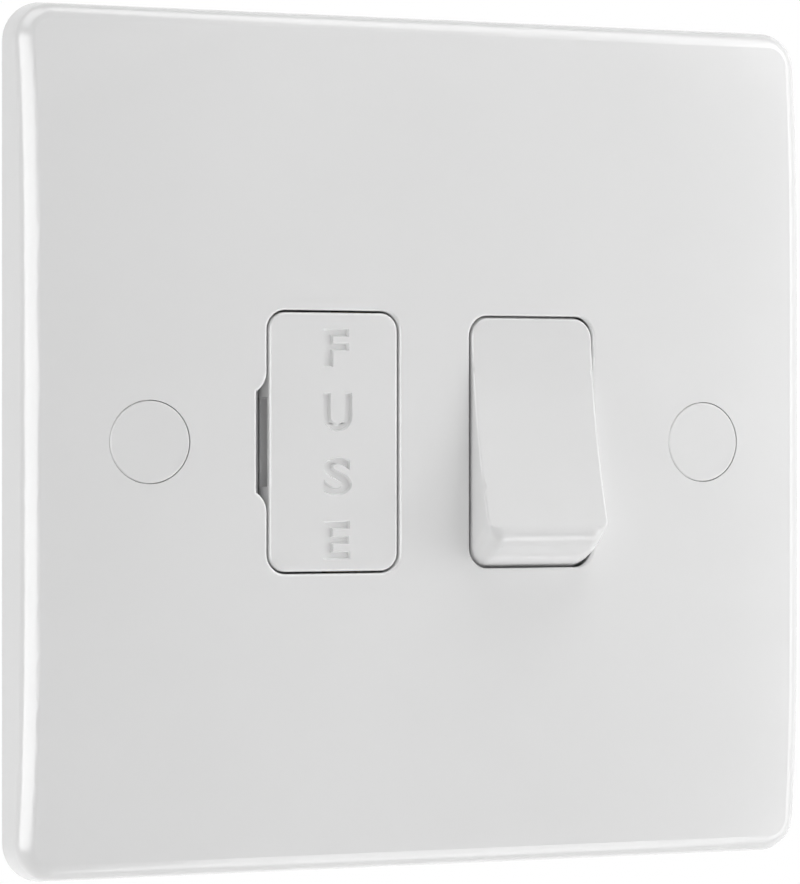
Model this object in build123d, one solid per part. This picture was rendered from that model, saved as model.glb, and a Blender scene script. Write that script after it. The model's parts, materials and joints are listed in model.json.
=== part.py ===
from build123d import *
from math import cos, hypot, radians, sin
import os

# Switched fused spur unit for a single wall box. Every piece is modelled lying on its back, with x to the
# right, y up the wall and z out of the wall towards the viewer, and is stood upright when it is written.
# The origin is the middle of the plate in the plane of the wall. Millimetres and degrees.

# Front plate
PLATE_W = 86.0
PLATE_H = 86.0
PLATE_CORNER_R = 4.0
PLATE_DRAFT = 7.0
FACE_Z = 7.3
FACE_WALL = 3.5
CROWN_DROP = 1.9
CROWN_MARGIN = 2.0
CREST_R = 1.9
RIM_W = 2.6
CAVITY_CORNER_R = 14.0
LIP_R = 0.3

# Fixing screws and their caps
FIX_CENTRES = 60.3
FIX_BOSS_D = 11.0
FIX_HOLE_D = 4.2
FIX_SCREW_D = 3.5
FIX_SCREW_LEN = 25.0
FIX_NECK_D = 3.0
FIX_HEAD_D = 6.6
FIX_HEAD_H = 1.6
FIX_HEAD_DOME = 0.7
FIX_TIP_CHAMFER = 0.5
FIX_SEAT_Z = 1.4
FIX_POCKET_D = 7.2
CAP_D = 8.2
CAP_T = 1.8
CAP_GAP = 0.1
CAP_SKIRT_FIT = 0.05
CAP_SKIRT_T = 0.8
CAP_SKIRT_LEN = 1.0

# Fuse drawer
DRAWER_X = -11.03
DRAWER_OPEN_W = 14.1
DRAWER_OPEN_H = 26.0
DRAWER_OPEN_R = 2.0
DRAWER_GAP = 0.2
DRAWER_EDGE_R = 0.35
DRAWER_TRAVEL = 14.0
NOTCH_DEPTH = 1.1
NOTCH_H = 9.9
NOTCH_SHOULDER = 1.95
NOTCH_FLOOR = 2.7
PRY_SLOT_H = 8.8
PRY_SLOT_TOP = 0.65
PRY_SLOT_DEPTH = 1.6
YOKE_LEN = 10.0
YOKE_WALL = 1.9
YOKE_WRAP = 2.0
LEG_W = 8.0
LEG_T = 1.0
LEG_INSET = 0.2
HOOK_REACH = 1.0
HOOK_H = 1.6
HOOK_GAP = 0.3

# Cartridge fuse and its clips
FUSE_D = 6.35
FUSE_LEN = 25.4
FUSE_CAP_LEN = 6.35
FUSE_CAP_WALL = 0.4
FUSE_BODY_D = 6.0
FUSE_FIT = 0.05
FUSE_DEPTH = 9.0
CLIP_T = 0.8
CLIP_W = 4.0
CLIP_GAP = 0.1
CLIP_ROOM = 2.8
CLIP_RISE = 3.0

# Rocker
ROCKER_X = 10.53
ROCKER_OPEN_W = 13.7
ROCKER_OPEN_H = 25.1
ROCKER_OPEN_R = 2.0
ROCKER_SIDE_GAP = 0.2
ROCKER_END_GAP = 0.3
PIVOT_DEPTH = 4.6
RIDGE_ANGLE = 57.7
SKIRT_ANGLE = 100.0
ROCKER_TILT = 11.9
ROCKER_HOLLOW = 0.85
ROCKER_CORNER_R = 1.9
ROCKER_EDGE_R = 0.65
ROCKER_WALL = 1.8
HUB_HALF = 4.0
HUB_DEPTH = 2.6
TRUNNION_D = 2.0
TRUNNION_LEN = 2.0
TRUNNION_FIT = 0.08
LUG_T = 2.0
LUG_W = 7.0
LUG_GAP = 0.4
LUG_END = 2.6
LUG_MOUTH = 1.6

# Plungers and springs in the rocker
POLE_SPACING = 6.4
SOCKET_D = 5.0
SOCKET_BORE_D = 3.2
SOCKET_LEN = 7.5
SOCKET_TOP = 4.4
PLUNGER_D = 3.0
PLUNGER_LEN = 10.7
PLUNGER_MID_GAP = 0.1
SPRING_D = 2.7
SPRING_WIRE = 0.4
SPRING_TURNS = 5

# See-saw contact bars
BAR_AXIS_Z = -11.3
BAR_TILT = 9.0
BAR_T = 1.2
BAR_W = 4.0
BAR_UPPER = 10.5
BAR_LOWER = 8.0
BAR_BELOW = 0.2
BAR_GROOVE_R = 0.45
POST_T = 0.7
TIP_D = 3.2
TIP_H = 0.9
TIP_DOME = 0.25
CONTACT_Y = 8.4
CONTACT_GAP = 0.1
STRIP_T = 1.0
STRIP_W = 4.0
STRIP_GAP = 1.0

# Rear housing
HOUSING_W = 48.0
HOUSING_H = 52.0
HOUSING_CORNER_R = 4.0
HOUSING_WALL = 1.8
HOUSING_REAR_Z = -20.0
COLUMN_GAP = 0.5
COLUMN_SPLIT_Z = -6.0
HOUSING_SCREW_D = 2.9
HOUSING_SCREW_LEN = 17.0
HOUSING_SCREW_FIT = 0.05
HOUSING_HEAD_D = 4.4
HOUSING_HEAD_H = 1.6
HEAD_RECESS = 2.2
HEAD_CLEAR = 0.4
RIB_T = 1.0
BOSS_CLEAR = 0.25

# Terminals
TERMINAL_PITCH = 14.0
TERMINAL_W = 8.0
TERMINAL_LEN = 9.0
TERMINAL_H = 9.0
WIRE_BORE_D = 4.2
WIRE_BORE_LEN = 8.0
WIRE_BORE_RISE = 5.2
WIRE_ENTRY_D = 6.4
CLAMP_SCREW_D = 3.5
CLAMP_SCREW_FIT = 0.05
CLAMP_HEAD_D = 4.6
CLAMP_HEAD_H = 2.0
CLAMP_HEAD_PROUD = 0.4
SLOT_W = 0.9
SLOT_DEPTH = 0.9

# Places worked out from the dimensions above
CEILING_Z = FACE_Z - FACE_WALL
FIX_X = FIX_CENTRES / 2
DRAWER_W = DRAWER_OPEN_W - 2 * DRAWER_GAP
DRAWER_H = DRAWER_OPEN_H - 2 * DRAWER_GAP
FUSE_Z = FACE_Z - FUSE_DEPTH
CLIP_Y = (FUSE_LEN - FUSE_CAP_LEN) / 2
CLIP_BASE_Z = FUSE_Z - FUSE_D / 2 - CLIP_ROOM
PIVOT_Z = FACE_Z - PIVOT_DEPTH
ROCKER_W = ROCKER_OPEN_W - 2 * ROCKER_SIDE_GAP
ROCKER_OPEN_RADIUS = hypot(ROCKER_OPEN_H / 2, PIVOT_DEPTH)
ROCKER_R = ROCKER_OPEN_RADIUS - ROCKER_END_GAP
BAR_TOP_Z = BAR_AXIS_Z + BAR_T - BAR_BELOW
PLUNGER_REACH = PIVOT_Z - BAR_TOP_Z - PLUNGER_MID_GAP
FLOOR_Z = HOUSING_REAR_Z + HOUSING_WALL
TERMINAL_OUT_Y = HOUSING_H / 2 - HOUSING_WALL
TERMINAL_IN_Y = TERMINAL_OUT_Y - TERMINAL_LEN
TERMINAL_TOP_Z = FLOOR_Z + TERMINAL_H
WIRE_Z = FLOOR_Z + WIRE_BORE_RISE
COLUMN_D = TERMINAL_PITCH - TERMINAL_W - 2 * COLUMN_GAP
COLUMN_X = TERMINAL_PITCH / 2
COLUMN_Y = TERMINAL_OUT_Y - TERMINAL_LEN / 2
FIXED_TIP_Z = (
    BAR_AXIS_Z
    - (BAR_BELOW + TIP_H) * cos(radians(BAR_TILT))
    - CONTACT_Y * sin(radians(BAR_TILT))
    - CONTACT_GAP
)
STRIP_TOP_Z = FIXED_TIP_Z - TIP_H
POLES = {"live": ROCKER_X - POLE_SPACING / 2, "neutral": ROCKER_X + POLE_SPACING / 2}
TERMINAL_XS = {"earth": -TERMINAL_PITCH, "live": 0.0, "neutral": TERMINAL_PITCH}
ROWS = {"supply": 1, "load": -1}
TILTED = Pos(ROCKER_X, 0, PIVOT_Z) * Rot(-ROCKER_TILT, 0, 0)


def block(x_span, y_span, z_span):
    """Box given by the two ends of its span along each axis."""
    spans = (x_span, y_span, z_span)
    middle = [(low + high) / 2 for low, high in spans]
    return Pos(*middle) * Box(*[high - low for low, high in spans])


def around(middle, width):
    """Span of a given width about a middle."""
    return (middle - width / 2, middle + width / 2)


def pillar(x, y, diameter, z_low, z_high):
    """Upright round bar between two heights."""
    return Pos(x, y, (z_low + z_high) / 2) * Cylinder(diameter / 2, z_high - z_low)


def turned(*outline):
    """Solid of revolution about z, from (radius, height) points."""
    return revolve(Plane.XZ * make_face(Polyline(*outline, close=True)), Axis.Z)


def face_height(x, y):
    """Height of the crowned face above the wall at a point."""
    return FACE_Z - CROWN_DROP * ((2 * x / PLATE_W) ** 4 + (2 * y / PLATE_H) ** 4)


def crown_block():
    """Block under the crowned face, which falls with the fourth power of the distance from the middle."""
    steps = (-1.0, -0.5, 0.0, 0.5, 1.0)
    signs = (1, -1, 1, -1, 1)
    reach_x = PLATE_W / 2 + CROWN_MARGIN
    reach_y = PLATE_H / 2 + CROWN_MARGIN
    drop_x = CROWN_DROP * (2 * reach_x / PLATE_W) ** 4
    drop_y = CROWN_DROP * (2 * reach_y / PLATE_H) ** 4
    points = [
        [(u * reach_x, v * reach_y, FACE_Z - drop_x * a - drop_y * b) for v, b in zip(steps, signs)]
        for u, a in zip(steps, signs)
    ]
    depth = FACE_Z - HOUSING_REAR_Z
    return extrude(Face.make_bezier_surface(points), amount=depth, dir=(0, 0, -1))


def drawer_opening():
    """Opening for the fuse drawer, with the shallow notch that lets a screwdriver reach its flank."""
    wall = DRAWER_X - DRAWER_OPEN_W / 2
    back = wall - NOTCH_DEPTH
    end = NOTCH_H / 2
    shoulder = end + NOTCH_SHOULDER
    notch = make_face(
        [
            TangentArc((wall, shoulder), (back, end), tangent=(0, -1)),
            Line((back, end), (back, -end)),
            TangentArc((wall, -shoulder), (back, -end), tangent=(0, 1)),
            Polyline((wall, -shoulder), (DRAWER_X, -shoulder), (DRAWER_X, shoulder), (wall, shoulder)),
        ]
    )
    outline = Pos(DRAWER_X, 0) * RectangleRounded(DRAWER_OPEN_W, DRAWER_OPEN_H, DRAWER_OPEN_R)
    through = extrude(Pos(0, 0, CEILING_Z) * outline, 2 * FACE_WALL)
    return through + extrude(Pos(0, 0, FACE_Z - NOTCH_FLOOR) * notch, 2 * NOTCH_FLOOR)


def rocker_opening():
    """Opening whose end walls are arcs about the rocker's pivot."""
    drum = Pos(ROCKER_X, 0, PIVOT_Z) * Rot(0, 90, 0) * Cylinder(ROCKER_OPEN_RADIUS, ROCKER_OPEN_W)
    front = block(
        around(ROCKER_X, 2 * ROCKER_OPEN_W),
        around(0, 2 * ROCKER_OPEN_H),
        (CEILING_Z, FACE_Z + FACE_WALL),
    )
    cutter = drum & front
    return fillet(cutter.edges().filter_by(GeomType.CIRCLE), ROCKER_OPEN_R)


def bearing_lug(side):
    """Lug behind the plate, beside the rocker's opening, that carries one end of the rocker."""
    inner = ROCKER_X + side * (ROCKER_W / 2 + LUG_GAP)
    x_span = sorted((inner, inner + side * LUG_T))
    return block(x_span, around(0, LUG_W), (PIVOT_Z - LUG_END, CEILING_Z))


def snap_bearing(side):
    """Bore for a rocker trunnion, with the narrower mouth through which it is pressed in."""
    trunnion_x = ROCKER_X + side * (ROCKER_W / 2 + LUG_GAP)
    bore = Pos(trunnion_x, 0, PIVOT_Z) * Rot(0, 90, 0) * Cylinder(TRUNNION_D / 2 + TRUNNION_FIT, 3 * LUG_T)
    mouth_end = PIVOT_Z - LUG_END - 1
    return bore + block(around(trunnion_x, 3 * LUG_T), around(0, LUG_MOUTH), (mouth_end, PIVOT_Z))


def column_places():
    """Places between the terminals where the rear housing is screwed to the plate."""
    return [(side_x * COLUMN_X, side_y * COLUMN_Y) for side_x in (-1, 1) for side_y in (-1, 1)]


def fixing_hole(side):
    """Stepped hole for a fixing screw: cap recess, head pocket, countersink and clearance hole."""
    ledge = face_height(FIX_X, 0) - CAP_T
    seat_top = FIX_SEAT_Z + FIX_HEAD_H
    bore = FIX_HOLE_D / 2
    hole = turned(
        (0, -1),
        (bore, -1),
        (bore, FIX_SEAT_Z + (bore - FIX_SCREW_D / 2) * FIX_HEAD_H / ((FIX_HEAD_D - FIX_SCREW_D) / 2)),
        (FIX_HEAD_D / 2, seat_top),
        (FIX_POCKET_D / 2, seat_top),
        (FIX_POCKET_D / 2, ledge),
        (CAP_D / 2, ledge),
        (CAP_D / 2, FACE_Z + 1),
        (0, FACE_Z + 1),
    )
    return Pos(side * FIX_X, 0, 0) * hole


def front_plate(crown):
    """Moulded plate: drafted sides, crowned face, hollow back, openings, bosses and bearing lugs."""
    plate = extrude(RectangleRounded(PLATE_W, PLATE_H, PLATE_CORNER_R), FACE_Z + 1, taper=PLATE_DRAFT)
    plate &= crown
    plate = fillet(plate.faces().sort_by(Axis.Z)[-1].edges(), CREST_R)
    plate -= drawer_opening()
    plate -= rocker_opening()
    face = plate.faces().sort_by(Axis.Z)[-1]
    plate = fillet([edge for wire in face.inner_wires() for edge in wire.edges()], LIP_R)
    cavity = RectangleRounded(PLATE_W - 2 * RIM_W, PLATE_H - 2 * RIM_W, CAVITY_CORNER_R)
    plate -= extrude(cavity, CEILING_Z)
    for side in (-1, 1):
        plate += pillar(side * FIX_X, 0, FIX_BOSS_D, 0, CEILING_Z)
        plate -= fixing_hole(side)
        plate += bearing_lug(side)
        plate -= snap_bearing(side)
    for x, y in column_places():
        plate += pillar(x, y, COLUMN_D, COLUMN_SPLIT_Z, CEILING_Z)
        plate -= pillar(x, y, HOUSING_SCREW_D + 2 * HOUSING_SCREW_FIT, COLUMN_SPLIT_Z - 1, CEILING_Z)
    return plate


def screw_cap(crown, side):
    """Round plug over a fixing screw, flush with the face, with a skirt that grips the head pocket."""
    ledge = face_height(FIX_X, 0) - CAP_T
    skirt_d = FIX_POCKET_D - 2 * CAP_SKIRT_FIT
    cap = pillar(0, 0, CAP_D - 2 * CAP_GAP, ledge, FACE_Z)
    skirt = pillar(0, 0, skirt_d, ledge - CAP_SKIRT_LEN, ledge)
    skirt -= pillar(0, 0, skirt_d - 2 * CAP_SKIRT_T, ledge - CAP_SKIRT_LEN, ledge)
    return (Pos(side * FIX_X, 0, 0) * (cap + skirt)) & crown


def fixing_screw(side):
    """Countersunk screw with a raised, slotted head and a plain neck, threaded from the wall plane on."""
    shank = FIX_SCREW_D / 2
    neck = FIX_NECK_D / 2
    neck_top = FIX_SEAT_Z - (shank - neck) * FIX_HEAD_H / (FIX_HEAD_D / 2 - shank)
    rim_z = FIX_SEAT_Z + FIX_HEAD_H
    tip_z = rim_z - FIX_SCREW_LEN
    section = make_face(
        [
            Polyline((0, rim_z + FIX_HEAD_DOME), (0, tip_z), (shank - FIX_TIP_CHAMFER, tip_z)),
            Polyline((shank - FIX_TIP_CHAMFER, tip_z), (shank, tip_z + FIX_TIP_CHAMFER), (shank, 0)),
            Polyline((shank, 0), (neck, 0), (neck, neck_top), (FIX_HEAD_D / 2, rim_z)),
            TangentArc((0, rim_z + FIX_HEAD_DOME), (FIX_HEAD_D / 2, rim_z), tangent=(1, 0)),
        ]
    )
    screw = revolve(Plane.XZ * section, Axis.Z)
    slot_z = rim_z + FIX_HEAD_DOME - SLOT_DEPTH
    screw -= block(around(0, SLOT_W), around(0, 2 * FIX_HEAD_D), (slot_z, FACE_Z))
    return Pos(side * FIX_X, 0, 0) * screw


def fuse_drawer(crown):
    """Pull-out drawer: front block, yoke that wraps the fuse, and two hooked legs that keep it captive."""
    outline = Pos(DRAWER_X, 0) * RectangleRounded(DRAWER_W, DRAWER_H, DRAWER_OPEN_R - DRAWER_GAP)
    drawer = extrude(Pos(0, 0, CEILING_Z) * outline, FACE_WALL + 1) & crown
    drawer = fillet(drawer.faces().sort_by(Axis.Z)[-1].edges(), DRAWER_EDGE_R)
    flank = DRAWER_X - DRAWER_W / 2
    drawer -= block(
        (flank - 1, flank + PRY_SLOT_DEPTH),
        around(0, PRY_SLOT_H),
        (FACE_Z - NOTCH_FLOOR, FACE_Z - PRY_SLOT_TOP),
    )
    yoke_w = FUSE_BODY_D + 2 * (FUSE_FIT + YOKE_WALL)
    drawer += block(around(DRAWER_X, yoke_w), around(0, YOKE_LEN), (FUSE_Z - YOKE_WRAP, CEILING_Z))
    drawer -= Pos(DRAWER_X, 0, FUSE_Z) * Rot(90, 0, 0) * Cylinder(FUSE_BODY_D / 2 + FUSE_FIT, 2 * YOKE_LEN)
    return drawer + [drawer_leg(side) for side in (-1, 1)]


def drawer_leg(side):
    """Springy leg of the drawer, with a ramped hook that catches behind the plate at full travel."""
    outer = DRAWER_W / 2 - LEG_INSET
    hook_top = CEILING_Z - DRAWER_TRAVEL - HOOK_GAP
    hook_end = hook_top - HOOK_H
    section = make_face(
        Polyline(
            (outer - LEG_T, CEILING_Z),
            (outer, CEILING_Z),
            (outer, hook_top),
            (outer + HOOK_REACH, hook_top),
            (outer, hook_end),
            (outer - LEG_T, hook_end),
            close=True,
        )
    )
    leg = extrude(Plane.XZ * section, LEG_W / 2, both=True)
    if side < 0:
        leg = mirror(leg, Plane.YZ)
    return Pos(DRAWER_X, 0, 0) * leg


def fuse_end_cap(side):
    """Drawn brass cup on one end of the fuse."""
    cup = Cylinder(FUSE_D / 2, FUSE_CAP_LEN)
    cup = fillet(cup.faces().sort_by(Axis.Z)[-1].edges(), FUSE_CAP_WALL)
    cup -= Pos(0, 0, -FUSE_CAP_WALL) * Cylinder(FUSE_D / 2 - FUSE_CAP_WALL, FUSE_CAP_LEN)
    return Pos(DRAWER_X, side * CLIP_Y, FUSE_Z) * Rot(-90 * side, 0, 0) * cup


def fuse_body():
    """Ceramic barrel of the fuse, stepped down where it enters the end cups."""
    spigot_d = FUSE_D - 2 * FUSE_CAP_WALL - 2 * FUSE_FIT
    barrel = Cylinder(FUSE_BODY_D / 2, FUSE_LEN - 2 * FUSE_CAP_LEN)
    barrel += Cylinder(spigot_d / 2, FUSE_LEN - 2 * FUSE_CAP_WALL)
    return Pos(DRAWER_X, 0, FUSE_Z) * Rot(90, 0, 0) * barrel


def fuse_clip(side):
    """Straight-jawed clip that grips one end cup of the fuse from both sides."""
    half = FUSE_D / 2 + CLIP_GAP
    top = FUSE_Z + CLIP_RISE
    y_span = around(side * CLIP_Y, CLIP_W)
    clip = block(around(DRAWER_X, 2 * (half + CLIP_T)), y_span, (CLIP_BASE_Z - CLIP_T, top))
    clip -= block(around(DRAWER_X, 2 * half), y_span, (CLIP_BASE_Z, top))
    return clip


def clip_tail(outer_y, into):
    """Tail of a fuse clip, bent down the side of its pedestal to the floor of the housing."""
    y_span = sorted((outer_y, outer_y + into * CLIP_T))
    return block(around(DRAWER_X, STRIP_W), y_span, (FLOOR_Z, CLIP_BASE_Z))


def pivot_post(x):
    """Standing end of a strip, with a full-round top edge that the contact bar rocks on."""
    post = block(around(x, STRIP_W), around(0, POST_T), (FLOOR_Z, BAR_AXIS_Z))
    return post + Pos(x, 0, BAR_AXIS_Z) * Rot(0, 90, 0) * Cylinder(POST_T / 2, STRIP_W)


def live_link():
    """Upper fuse clip, floor strip and pivot post of the live pole, stamped from one brass strip."""
    inner_y = CLIP_Y - CLIP_W / 2
    half = STRIP_W / 2
    floor = (FLOOR_Z, FLOOR_Z + STRIP_T)
    strip = block(around(DRAWER_X, STRIP_W), (-half, inner_y), floor)
    strip += block((DRAWER_X - half, POLES["live"] + half), (-half, half), floor)
    return fuse_clip(1) + clip_tail(inner_y, 1) + strip + pivot_post(POLES["live"])


def load_live_clip():
    """Lower fuse clip and the strip from it to the load live terminal."""
    inner_y = -CLIP_Y - CLIP_W / 2
    half = STRIP_W / 2
    floor = (FLOOR_Z, FLOOR_Z + STRIP_T)
    turn_y = (inner_y - TERMINAL_IN_Y) / 2
    strip = block((DRAWER_X - half, TERMINAL_XS["live"] + half), (turn_y, inner_y + CLIP_T), floor)
    strip += block(around(TERMINAL_XS["live"], STRIP_W), (-TERMINAL_IN_Y, turn_y), floor)
    return fuse_clip(-1) + clip_tail(inner_y, 1) + strip


def neutral_post():
    """Pivot post of the neutral pole and the strip from it to the load neutral terminal."""
    strip = block(
        around(POLES["neutral"], STRIP_W),
        (-TERMINAL_IN_Y, STRIP_W / 2),
        (FLOOR_Z, FLOOR_Z + STRIP_T),
    )
    return strip + pivot_post(POLES["neutral"])


def supply_contact(pole):
    """Strip from a supply terminal to the fixed contact under the upper end of a contact bar."""
    half = STRIP_W / 2
    level = (STRIP_TOP_Z - STRIP_T, STRIP_TOP_Z)
    pole_x = POLES[pole]
    terminal_x = TERMINAL_XS[pole]
    left, right = sorted((pole_x, terminal_x))
    turn = (TERMINAL_IN_Y - STRIP_GAP - STRIP_W, TERMINAL_IN_Y - STRIP_GAP)
    strip = block(around(pole_x, STRIP_W), (CONTACT_Y - half, turn[1]), level)
    strip += block((left - half, right + half), turn, level)
    return strip + block(around(terminal_x, STRIP_W), (turn[0], TERMINAL_IN_Y), level)


def contact_tip(x, y, z, facing):
    """Silver rivet head with a slightly domed face, standing on a strip or hanging under a bar."""
    radius = TIP_D / 2
    section = make_face(
        [
            Polyline((0, TIP_H), (0, 0), (radius, 0), (radius, TIP_H - TIP_DOME)),
            TangentArc((0, TIP_H), (radius, TIP_H - TIP_DOME), tangent=(1, 0)),
        ]
    )
    tip = revolve(Plane.XZ * section, Axis.Z)
    return Pos(x, y, z) * (tip if facing > 0 else Rot(180, 0, 0) * tip)


def contact_bar():
    """See-saw bar along y, grooved underneath where it rocks on its post, with its axis at the origin."""
    outline = Pos(0, (BAR_UPPER - BAR_LOWER) / 2) * RectangleRounded(BAR_W, BAR_UPPER + BAR_LOWER, BAR_W / 4)
    bar = extrude(Pos(0, 0, -BAR_BELOW) * outline, BAR_T)
    return bar - Rot(0, 90, 0) * Cylinder(BAR_GROOVE_R, 2 * BAR_W)


def bar_place(pole):
    """Place of a contact bar in the off position, its upper end lifted off the fixed contact."""
    return Pos(POLES[pole], 0, BAR_AXIS_Z) * Rot(BAR_TILT, 0, 0)


def rocker_section(inset, floor):
    """Section of the rocker about its pivot: hollow front, round ends, and a hub that narrows to the rear."""
    radius = ROCKER_R - inset
    ridge_y = radius * sin(radians(RIDGE_ANGLE))
    ridge_z = radius * cos(radians(RIDGE_ANGLE))
    middle_z = ROCKER_R * cos(radians(RIDGE_ANGLE)) - ROCKER_HOLLOW - inset
    between = radians((RIDGE_ANGLE + SKIRT_ANGLE) / 2)
    skirt_y = radius * sin(radians(SKIRT_ANGLE))
    skirt_z = radius * cos(radians(SKIRT_ANGLE))
    between_y = radius * sin(between)
    between_z = radius * cos(between)
    return make_face(
        [
            ThreePointArc((-ridge_y, ridge_z), (0, middle_z), (ridge_y, ridge_z)),
            ThreePointArc((ridge_y, ridge_z), (between_y, between_z), (skirt_y, skirt_z)),
            Polyline((skirt_y, skirt_z), (HUB_HALF, -floor), (-HUB_HALF, -floor), (-skirt_y, skirt_z)),
            ThreePointArc((-skirt_y, skirt_z), (-between_y, between_z), (-ridge_y, ridge_z)),
        ]
    )


def rocker():
    """Hollow rocker with trunnions and two plunger sockets, level, with its pivot at the origin."""
    body = extrude(Plane.YZ * rocker_section(0, HUB_DEPTH), ROCKER_W / 2, both=True)
    ends = [
        edge
        for edge in body.edges().filter_by(GeomType.CIRCLE)
        if abs(edge.radius - ROCKER_R) < ROCKER_END_GAP and abs(edge.center().X) > ROCKER_W / 4
    ]
    body = fillet(ends, ROCKER_CORNER_R)
    front = body.faces().filter_by(GeomType.CYLINDER).sort_by(Axis.Z)[-1]
    body = fillet(front.edges(), ROCKER_EDGE_R)
    pocket = rocker_section(ROCKER_WALL, HUB_DEPTH + SOCKET_LEN)
    body -= extrude(Plane.YZ * pocket, ROCKER_W / 2 - ROCKER_WALL, both=True)
    roof = ROCKER_R * cos(radians(RIDGE_ANGLE)) - ROCKER_HOLLOW - ROCKER_WALL / 2
    for pole_x in POLES.values():
        body += pillar(pole_x - ROCKER_X, 0, SOCKET_D, -SOCKET_LEN, roof)
        body -= pillar(pole_x - ROCKER_X, 0, SOCKET_BORE_D, -SOCKET_LEN - 1, SOCKET_TOP)
    for side in (-1, 1):
        middle = side * (ROCKER_W + TRUNNION_LEN) / 2
        body += Pos(middle, 0, 0) * Rot(0, 90, 0) * Cylinder(TRUNNION_D / 2, TRUNNION_LEN)
    return body


def plunger(pole):
    """Round-nosed plunger in the rocker, its nose just clear of the contact bar at mid throw."""
    radius = PLUNGER_D / 2
    body = pillar(0, 0, PLUNGER_D, radius - PLUNGER_REACH, PLUNGER_LEN - PLUNGER_REACH)
    body += Pos(0, 0, radius - PLUNGER_REACH) * Sphere(radius)
    return Pos(POLES[pole] - ROCKER_X, 0, 0) * body


def plunger_spring(pole):
    """Coil spring between the blind end of a plunger socket and the plunger."""
    low = PLUNGER_LEN - PLUNGER_REACH + SPRING_WIRE / 2
    height = SOCKET_TOP - SPRING_WIRE / 2 - low
    mean_r = (SPRING_D - SPRING_WIRE) / 2
    path = Helix(height / SPRING_TURNS, height, mean_r, center=(0, 0, low))
    wire = Plane(origin=path @ 0, z_dir=path % 0) * Circle(SPRING_WIRE / 2)
    return Pos(POLES[pole] - ROCKER_X, 0, 0) * sweep(wire, path)


def terminal(kind, row):
    """Brass pillar terminal with a blind wire bore and a clamping screw hole from the rear."""
    x = TERMINAL_XS[kind]
    side = ROWS[row]
    y_span = sorted((side * TERMINAL_IN_Y, side * TERMINAL_OUT_Y))
    pillar_block = block(around(x, TERMINAL_W), y_span, (FLOOR_Z, TERMINAL_TOP_Z))
    bore_y = side * (TERMINAL_OUT_Y - WIRE_BORE_LEN / 2)
    pillar_block -= Pos(x, bore_y, WIRE_Z) * Rot(90, 0, 0) * Cylinder(WIRE_BORE_D / 2, WIRE_BORE_LEN)
    clamp_d = CLAMP_SCREW_D + 2 * CLAMP_SCREW_FIT
    return pillar_block - pillar(x, bore_y, clamp_d, FLOOR_Z - 1, WIRE_Z)


def clamp_screw(kind, row):
    """Slotted terminal screw, backed out until its end is clear of the wire bore."""
    x = TERMINAL_XS[kind]
    y = ROWS[row] * (TERMINAL_OUT_Y - WIRE_BORE_LEN / 2)
    head_z = HOUSING_REAR_Z - CLAMP_HEAD_PROUD
    screw = pillar(x, y, CLAMP_HEAD_D, head_z, head_z + CLAMP_HEAD_H)
    screw += pillar(x, y, CLAMP_SCREW_D, head_z + CLAMP_HEAD_H, WIRE_Z - WIRE_BORE_D / 2)
    return screw - block(around(x, 2 * CLAMP_HEAD_D), around(y, SLOT_W), (head_z, head_z + SLOT_DEPTH))


def earth_strap():
    """Strip on edge midway between the earth terminals and the left wall, tabbed to both terminals."""
    flank_x = TERMINAL_XS["earth"] - TERMINAL_W / 2
    strap_x = (flank_x + HOUSING_WALL - HOUSING_W / 2) / 2
    reach = TERMINAL_IN_Y + STRIP_W
    z_span = (FLOOR_Z, FLOOR_Z + STRIP_W)
    strap = block(around(strap_x, STRIP_T), around(0, 2 * reach), z_span)
    for side in (-1, 1):
        strap += block((strap_x, flank_x), around(side * (reach - STRIP_W / 2), STRIP_W / 2), z_span)
    return strap


def housing_screw(x, y):
    """Pan-head screw that holds the rear housing to the plate."""
    head_top = HOUSING_REAR_Z + HEAD_RECESS
    screw = pillar(x, y, HOUSING_HEAD_D, head_top - HOUSING_HEAD_H, head_top)
    screw += pillar(x, y, HOUSING_SCREW_D, head_top, head_top + HOUSING_SCREW_LEN)
    slot = (head_top - HOUSING_HEAD_H, head_top - HOUSING_HEAD_H + SLOT_DEPTH)
    return screw - block(around(x, 2 * HOUSING_HEAD_D), around(y, SLOT_W), slot)


def housing_supports():
    """Pedestals, ribs and screw columns moulded on the floor of the rear housing."""
    supports = [block(around(ROCKER_X, RIB_T), (-BAR_LOWER, BAR_UPPER), (FLOOR_Z, BAR_TOP_Z))]
    for side in ROWS.values():
        low_y = side * CLIP_Y - CLIP_W / 2
        y_span = (low_y + CLIP_T, low_y + CLIP_W)
        supports.append(block(around(DRAWER_X, STRIP_W), y_span, (FLOOR_Z, CLIP_BASE_Z - CLIP_T)))
    for pole_x in POLES.values():
        supports.append(
            block(around(pole_x, STRIP_W), around(CONTACT_Y, STRIP_W), (FLOOR_Z, STRIP_TOP_Z - STRIP_T))
        )
    for x, y in column_places():
        y_span = sorted((y, TERMINAL_OUT_Y if y > 0 else -TERMINAL_OUT_Y))
        supports.append(block(around(x, RIB_T), y_span, (FLOOR_Z, COLUMN_SPLIT_Z)))
        supports.append(pillar(x, y, COLUMN_D, FLOOR_Z, COLUMN_SPLIT_Z))
    return supports


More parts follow.
